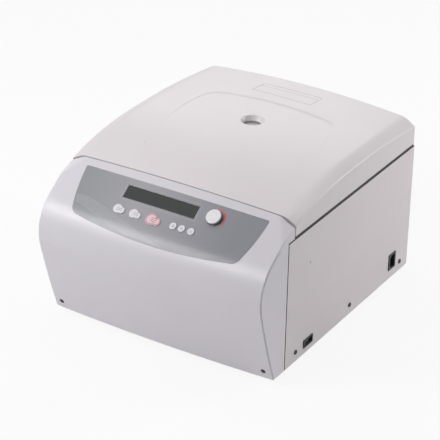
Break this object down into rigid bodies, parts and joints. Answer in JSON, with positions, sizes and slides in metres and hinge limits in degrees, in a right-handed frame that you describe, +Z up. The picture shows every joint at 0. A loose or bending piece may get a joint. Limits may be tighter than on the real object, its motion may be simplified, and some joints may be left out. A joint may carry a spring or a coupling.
{
  "type": "microplate centrifuge",
  "caption": "Low bench centrifuge for microplates: crowned lid with a round viewport over a steel chamber, sloped control panel on a bulging front, swing-out plate carriers.",
  "frame": {"origin": "on the bench, under the middle of the cabinet's outline", "axes": "+Z up; the control panel faces -Y; +X is the operator's right, the side with the power inlet and switch"},
  "size_m": [0.4336, 0.517, 0.3093],
  "materials": {
    "cabinet_paint": "fine satin powder coat, off-white",
    "cover_plastic": "satin off-white moulding",
    "overlay_film": "printed grey polyester film, satin",
    "display_glass": "dark tinted window",
    "display_cell": "liquid crystal cell on a circuit board",
    "circuit_board": "green solder mask",
    "switch_plastic": "black moulding",
    "key_white": "smooth white",
    "key_pink": "smooth pale red",
    "knob_white": "smooth white",
    "knob_grey": "ribbed dark grey",
    "bright_steel": "brushed stainless",
    "zinc_steel": "zinc plated",
    "cast_alloy": "bead blasted",
    "anodised_alloy": "satin anodised",
    "heat_sink_alloy": "black anodised",
    "black_rubber": "matte",
    "grey_rubber": "matte silicone",
    "clear_pane": "polished clear",
    "black_screw": "blackened",
    "copper_core": "wound copper and laminations",
    "magnet": "sintered and coated",
    "black_plastic": "fine grained black"
  },
  "bodies": {
    "cabinet": {"front_cover": "cover_plastic", "control_overlay": "overlay_film", "display_window": "display_glass", "display_module": "display_cell", "control_board": "circuit_board", "key_switches": "switch_plastic", "encoder_body": "zinc_steel", "hinge_brackets": "zinc_steel", "hinge_pins": "bright_steel", "side_panel_left": "cabinet_paint", "side_panel_right": "cabinet_paint", "base_plate": "zinc_steel", "rubber_feet": "black_rubber", "rear_panel": "cabinet_paint", "top_deck": "cabinet_paint", "cabinet_screws": "black_screw", "cover_screws": "black_screw", "chamber_bowl": "bright_steel", "chamber_gasket": "grey_rubber", "motor_boot": "black_rubber", "lock_housing": "black_plastic", "lock_solenoid": "zinc_steel", "motor_housing": "cast_alloy", "motor_end_cap": "cast_alloy", "motor_bearings": "bright_steel", "motor_stator": "copper_core", "motor_mount_plate": "cast_alloy", "motor_dampers": "black_rubber", "edge_seals": "black_rubber", "drive_board": "circuit_board", "heat_sink": "heat_sink_alloy", "power_inlet": "black_plastic", "switch_housing": "black_plastic"},
    "lid": {"lid_cover": "cover_plastic", "lid_liner": "bright_steel", "viewport_pane": "clear_pane", "viewport_tube": "black_plastic", "lid_hook": "zinc_steel", "lid_screws": "zinc_steel", "hinge_leaves": "zinc_steel"},
    "rotor": {"drive_shaft": "bright_steel", "motor_magnet": "magnet", "rotor_yoke": "anodised_alloy", "trunnion_pins": "bright_steel", "rotor_nut": "anodised_alloy"},
    "carrier_1": {"plate_carrier_1": "anodised_alloy", "carrier_pad_1": "grey_rubber"},
    "carrier_2": {"plate_carrier_2": "anodised_alloy", "carrier_pad_2": "grey_rubber"},
    "start_key_body": {"start_key": "key_white"},
    "mode_key_body": {"mode_key": "key_white"},
    "stop_key_body": {"stop_key": "key_pink"},
    "step_key_1_body": {"step_key_1": "key_white"},
    "step_key_2_body": {"step_key_2": "key_white"},
    "step_key_3_body": {"step_key_3": "key_white"},
    "knob": {"knob_cap": "knob_white", "knob_skirt": "knob_grey", "encoder_shaft": "zinc_steel"},
    "rocker": {"power_rocker": "black_plastic"},
    "pawl": {"lock_pawl": "bright_steel"}
  },
  "joints": [
    {"name": "lid_hinge", "type": "hinge", "parent": "cabinet", "child": "lid", "pos_m": [0, 0.253, 0.262], "axis": [-1, 0, 0], "range_deg": [0, 75]},
    {"name": "rotor_spin", "type": "hinge", "parent": "cabinet", "child": "rotor", "pos_m": [0, 0.0715, 0.191], "axis": [0, 0, 1], "continuous": true},
    {"name": "carrier_swing_1", "type": "hinge", "parent": "rotor", "child": "carrier_1", "pos_m": [0.072, 0.0715, 0.191], "axis": [0, -1, 0], "range_deg": [0, 90]},
    {"name": "carrier_swing_2", "type": "hinge", "parent": "rotor", "child": "carrier_2", "pos_m": [-0.072, 0.0715, 0.191], "axis": [0, 1, 0], "range_deg": [0, 90]},
    {"name": "start_key_press", "type": "slide", "parent": "cabinet", "child": "start_key_body", "axis": [0, 0.5736, -0.8192], "range_m": [0, 0.0008], "stiffness_N_per_m": 1500, "springref_m": -0.0003},
    {"name": "mode_key_press", "type": "slide", "parent": "cabinet", "child": "mode_key_body", "axis": [0, 0.5736, -0.8192], "range_m": [0, 0.0008], "stiffness_N_per_m": 1500, "springref_m": -0.0003},
    {"name": "stop_key_press", "type": "slide", "parent": "cabinet", "child": "stop_key_body", "axis": [0, 0.5736, -0.8192], "range_m": [0, 0.0008], "stiffness_N_per_m": 1500, "springref_m": -0.0003},
    {"name": "step_key_1_press", "type": "slide", "parent": "cabinet", "child": "step_key_1_body", "axis": [0, 0.5736, -0.8192], "range_m": [0, 0.0008], "stiffness_N_per_m": 1500, "springref_m": -0.0003},
    {"name": "step_key_2_press", "type": "slide", "parent": "cabinet", "child": "step_key_2_body", "axis": [0, 0.5736, -0.8192], "range_m": [0, 0.0008], "stiffness_N_per_m": 1500, "springref_m": -0.0003},
    {"name": "step_key_3_press", "type": "slide", "parent": "cabinet", "child": "step_key_3_body", "axis": [0, 0.5736, -0.8192], "range_m": [0, 0.0008], "stiffness_N_per_m": 1500, "springref_m": -0.0003},
    {"name": "knob_turn", "type": "hinge", "parent": "cabinet", "child": "knob", "pos_m": [0.0863, -0.18599, 0.25997], "axis": [0, -0.5736, 0.8192], "continuous": true},
    {"name": "rocker_tip", "type": "hinge", "parent": "cabinet", "child": "rocker", "pos_m": [0.2124, -0.096, 0.031], "axis": [0, 0, -1], "range_deg": [0, 18]},
    {"name": "pawl_slide", "type": "slide", "parent": "cabinet", "child": "pawl", "axis": [-1, 0, 0], "range_m": [0, 0.012], "stiffness_N_per_m": 60, "springref_m": -0.004}
  ]
}
